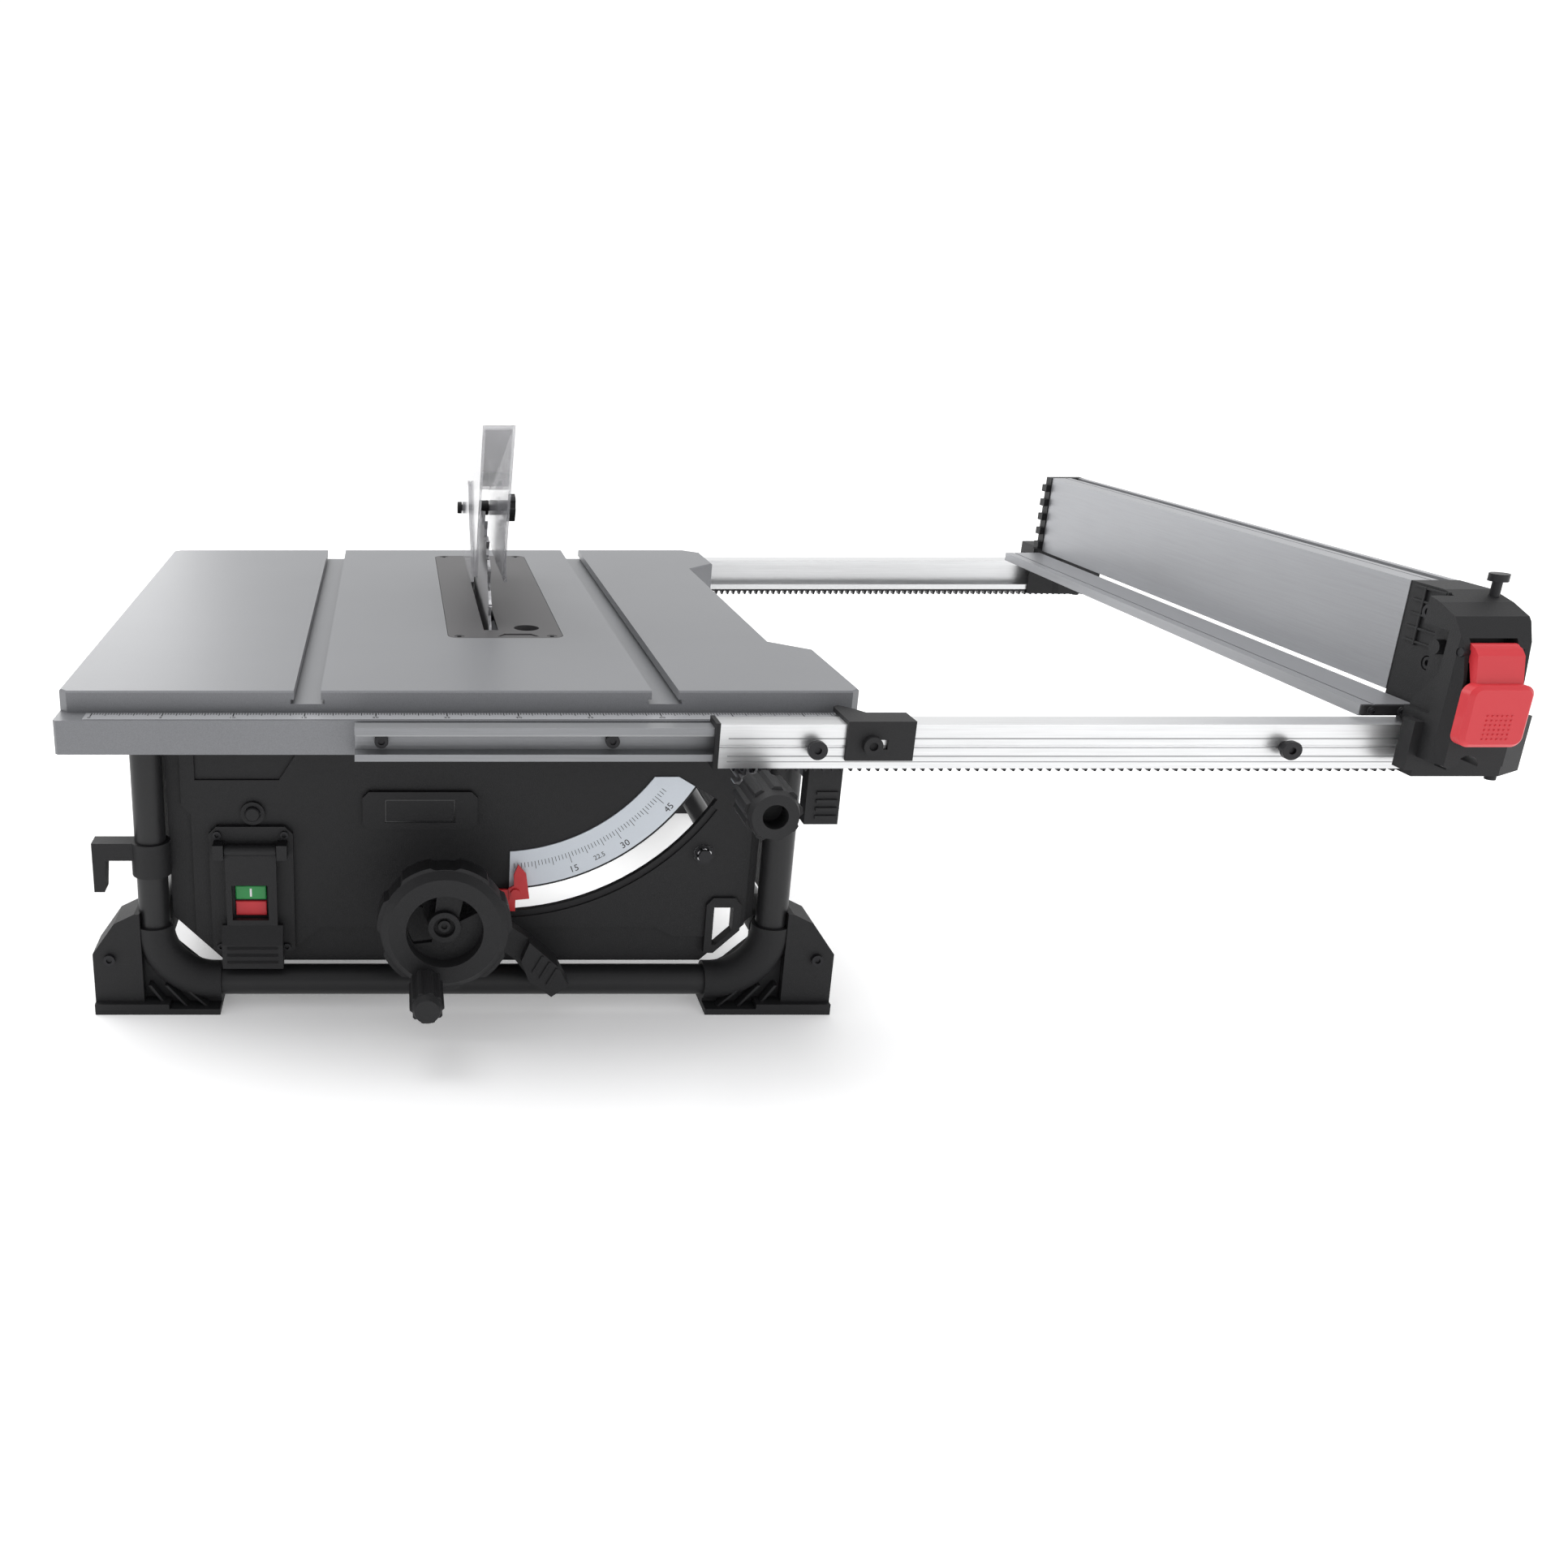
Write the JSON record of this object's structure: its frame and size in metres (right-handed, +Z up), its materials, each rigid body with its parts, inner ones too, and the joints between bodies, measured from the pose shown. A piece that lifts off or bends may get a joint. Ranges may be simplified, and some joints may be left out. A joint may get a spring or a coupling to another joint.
{
  "type": "table saw",
  "caption": "Portable bench table saw with a tilting, height-set blade, clear guard, sliding rip fence on extending rails, bevel dial, switch paddle and a tube frame.",
  "frame": {"origin": "centre of the four bolt-down holes in the feet, on the floor plane", "axes": "+X to the right seen from the operator, along the rails; +Y from the operator to the back, along the cut; +Z up"},
  "size_m": [1.0153, 0.711, 0.441],
  "materials": {
    "table_metal": "sanded cast top",
    "throat_metal": "satin grey",
    "black_plastic": "fine texture",
    "black_tube": "powder coat",
    "rail_metal": "extruded",
    "fence_metal": "brushed",
    "steel": "plated",
    "dark_steel": "blackened",
    "blade_steel": "ground",
    "red_plastic": "gloss",
    "green_plastic": "gloss",
    "clear_plastic": "clear sheet",
    "dial_plate": "printed plate",
    "pointer_red": "gloss"
  },
  "bodies": {
    "base": {"table_top": "table_metal", "throat_plate": "throat_metal", "cover_screws": "steel", "front_panel": "black_plastic", "left_side_cover": "black_plastic", "right_side_cover": "black_plastic", "rear_cover": "black_plastic", "front_frame_hoop": "black_tube", "rear_frame_hoop": "black_tube", "side_tubes": "black_tube", "front_left_foot": "black_plastic", "front_right_foot": "black_plastic", "rear_left_foot": "black_plastic", "rear_right_foot": "black_plastic", "front_fixed_rail": "rail_metal", "rear_fixed_rail": "rail_metal", "rail_bolts": "dark_steel", "switch_plate": "black_plastic", "badge_plate": "black_plastic", "bevel_scale": "dial_plate", "side_hook": "black_plastic", "trunnion_brackets": "table_metal", "dust_port": "black_plastic", "cord_gland": "black_plastic"},
    "start_button": {"start_button": "green_plastic"},
    "stop_button": {"stop_button": "red_plastic"},
    "stop_paddle": {"stop_paddle": "black_plastic"},
    "reset_button": {"reset_button": "black_plastic"},
    "rails": {"front_moving_rail": "rail_metal", "rear_moving_rail": "rail_metal", "rail_racks": "dark_steel", "rail_end_caps": "black_plastic", "fence_pins": "dark_steel", "rail_pointer": "black_plastic"},
    "pinion": {"pinion_shaft": "steel", "rail_knob": "black_plastic"},
    "rail_lock_lever": {"rail_lock_lever": "black_plastic"},
    "fence": {"fence_beam": "fence_metal", "fence_head": "black_plastic", "fence_rear_cap": "black_plastic", "fence_screws": "dark_steel"},
    "fence_ledge": {"fence_ledge": "fence_metal"},
    "fence_latch_lever": {"fence_latch_lever": "red_plastic"},
    "tilt": {"tilt_carriage": "table_metal", "lift_rods": "steel", "bevel_pointer": "pointer_red"},
    "lift_screw": {"lift_screw": "steel"},
    "handwheel": {"handwheel": "black_plastic"},
    "crank_knob": {"crank_knob": "black_plastic"},
    "bevel_lock_lever": {"bevel_lock_lever": "black_plastic"},
    "lift": {"gear_case": "table_metal", "motor_housing": "black_plastic", "riving_knife": "blade_steel", "guard_knob": "black_plastic"},
    "blade": {"saw_blade": "blade_steel", "arbor_shaft": "steel"},
    "motor_rotor": {"motor_rotor": "steel"},
    "guard_cover": {"guard_cover": "clear_plastic"},
    "guard_left_wing": {"guard_left_wing": "clear_plastic"},
    "guard_right_wing": {"guard_right_wing": "clear_plastic"}
  },
  "joints": [
    {"name": "rails_slide", "type": "slide", "parent": "base", "child": "rails", "axis": [1, 0, 0], "range_m": [-0.325, 0]},
    {"name": "pinion_turn", "type": "hinge", "parent": "base", "child": "pinion", "pos_m": [0.1943, -0.011, 0.2145], "axis": [0, 1, 0], "range_deg": [-1870, 5]},
    {"name": "rail_lock_turn", "type": "hinge", "parent": "base", "child": "rail_lock_lever", "pos_m": [0.2503, -0.2995, 0.2155], "axis": [0, -1, 0], "range_deg": [0, 90]},
    {"name": "fence_lift_off", "type": "slide", "parent": "rails", "child": "fence", "axis": [0, 0, 1], "range_m": [0, 0.08]},
    {"name": "fence_latch_pull", "type": "hinge", "parent": "fence", "child": "fence_latch_lever", "pos_m": [0.6498, -0.3655, 0.319], "axis": [-1, 0, 0], "range_deg": [0, 60]},
    {"name": "ledge_fold", "type": "hinge", "parent": "fence", "child": "fence_ledge", "pos_m": [0.641, -0.0265, 0.2686], "axis": [0, 1, 0], "range_deg": [0, 90]},
    {"name": "bevel_tilt", "type": "hinge", "parent": "base", "child": "tilt", "pos_m": [0.0268, 0.0055, 0.272], "axis": [0, -1, 0], "range_deg": [0, 45]},
    {"name": "blade_lift", "type": "slide", "parent": "tilt", "child": "lift", "axis": [0, 0, 1], "range_m": [-0.028, 0]},
    {"name": "lift_screw_turn", "type": "hinge", "parent": "tilt", "child": "lift_screw", "pos_m": [-0.0168, -0.0665, 0.172], "axis": [0, 0, 1], "range_deg": [-1010, 5]},
    {"name": "handwheel_turn", "type": "hinge", "parent": "tilt", "child": "handwheel", "pos_m": [-0.0168, -0.2885, 0.094], "axis": [0, 1, 0], "range_deg": [-1010, 5]},
    {"name": "crank_spin", "type": "hinge", "parent": "handwheel", "child": "crank_knob", "pos_m": [-0.0306, -0.3335, 0.056], "axis": [0, 1, 0], "continuous": true},
    {"name": "bevel_lock_swing", "type": "hinge", "parent": "tilt", "child": "bevel_lock_lever", "pos_m": [-0.0168, -0.2605, 0.094], "axis": [0, -1, 0], "range_deg": [0, 45]},
    {"name": "blade_spin", "type": "hinge", "parent": "lift", "child": "blade", "pos_m": [0.0268, 0.0255, 0.225], "axis": [1, 0, 0], "continuous": true},
    {"name": "motor_spin", "type": "hinge", "parent": "lift", "child": "motor_rotor", "pos_m": [-0.0832, 0.04628, 0.213], "axis": [1, 0, 0], "continuous": true},
    {"name": "guard_cover_swing", "type": "hinge", "parent": "lift", "child": "guard_cover", "pos_m": [0.0268, 0.1199, 0.3416], "axis": [-1, 0, 0], "range_deg": [0, 60]},
    {"name": "guard_left_swing", "type": "hinge", "parent": "lift", "child": "guard_left_wing", "pos_m": [0.0128, 0.1199, 0.3416], "axis": [-1, 0, 0], "range_deg": [0, 60]},
    {"name": "guard_right_swing", "type": "hinge", "parent": "lift", "child": "guard_right_wing", "pos_m": [0.0408, 0.1199, 0.3416], "axis": [-1, 0, 0], "range_deg": [0, 60]},
    {"name": "stop_paddle_lift", "type": "hinge", "parent": "base", "child": "stop_paddle", "pos_m": [-0.1635, -0.2485, 0.1351], "axis": [-1, 0, 0], "range_deg": [0, 80]},
    {"name": "start_press", "type": "slide", "parent": "base", "child": "start_button", "axis": [0, 1, 0], "range_m": [0, 0.003], "stiffness_N_per_m": 400, "springref_m": -0.002},
    {"name": "stop_press", "type": "slide", "parent": "base", "child": "stop_button", "axis": [0, 1, 0], "range_m": [0, 0.003], "stiffness_N_per_m": 400, "springref_m": -0.002},
    {"name": "reset_press", "type": "slide", "parent": "base", "child": "reset_button", "axis": [0, 1, 0], "range_m": [0, 0.004], "stiffness_N_per_m": 300, "springref_m": -0.002}
  ],
  "couplings": [
    {"joint": "pinion_turn", "follows": "rails_slide", "rad_per_m": 100},
    {"joint": "lift_screw_turn", "follows": "blade_lift", "rad_per_m": 628.32},
    {"joint": "handwheel_turn", "follows": "blade_lift", "rad_per_m": 628.32},
    {"joint": "motor_spin", "follows": "blade_spin", "ratio": -4}
  ]
}
